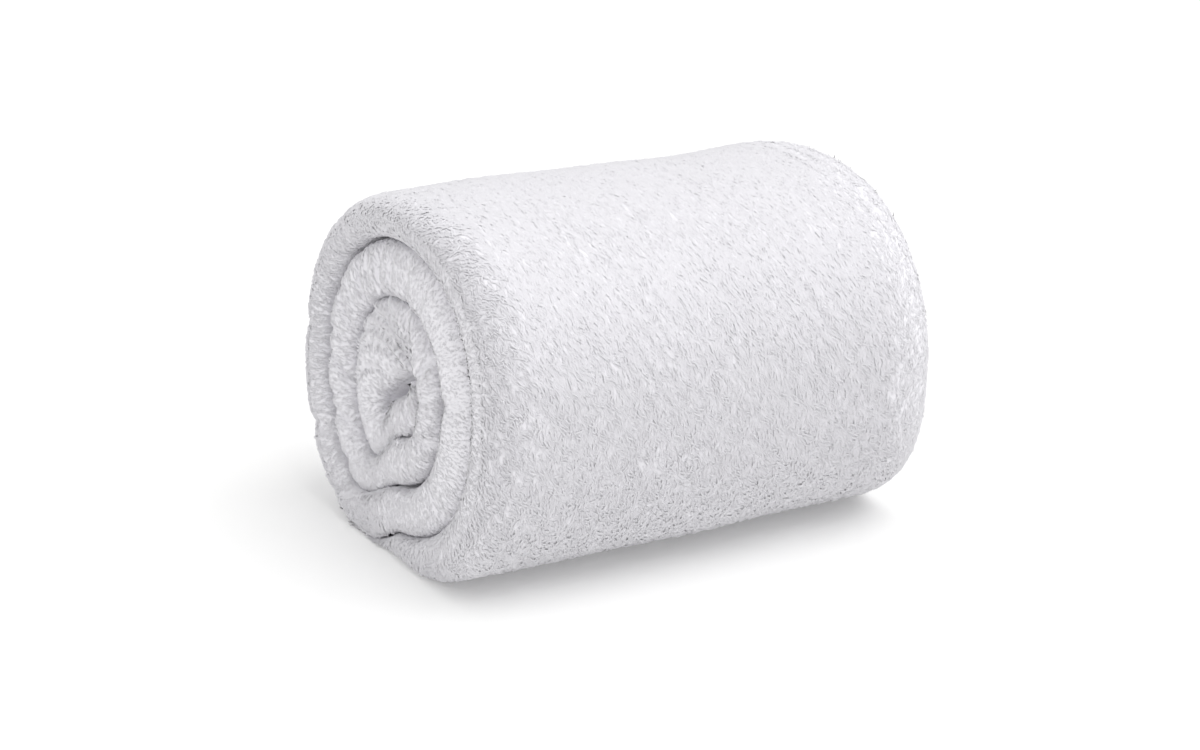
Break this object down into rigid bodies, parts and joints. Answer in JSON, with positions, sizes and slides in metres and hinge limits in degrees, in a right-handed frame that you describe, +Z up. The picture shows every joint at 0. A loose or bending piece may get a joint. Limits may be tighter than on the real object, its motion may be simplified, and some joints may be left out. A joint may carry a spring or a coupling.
{
  "type": "rolled bath towel",
  "caption": "Thick white terry bath towel, folded in thirds along its length and rolled into a loose, slightly flattened roll with puffy rounded folds at both ends.",
  "frame": {"origin": "centre of the roll's footprint, on the surface it rests on", "axes": "+Y along the roll from the end that shows its winding to the other end, +Z up"},
  "size_m": [0.1958, 0.2426, 0.1679],
  "materials": {
    "terry_white": "looped cotton terry pile, soft and fully matt"
  },
  "bodies": {
    "root": {"towel_roll": "terry_white"}
  },
  "joints": []
}
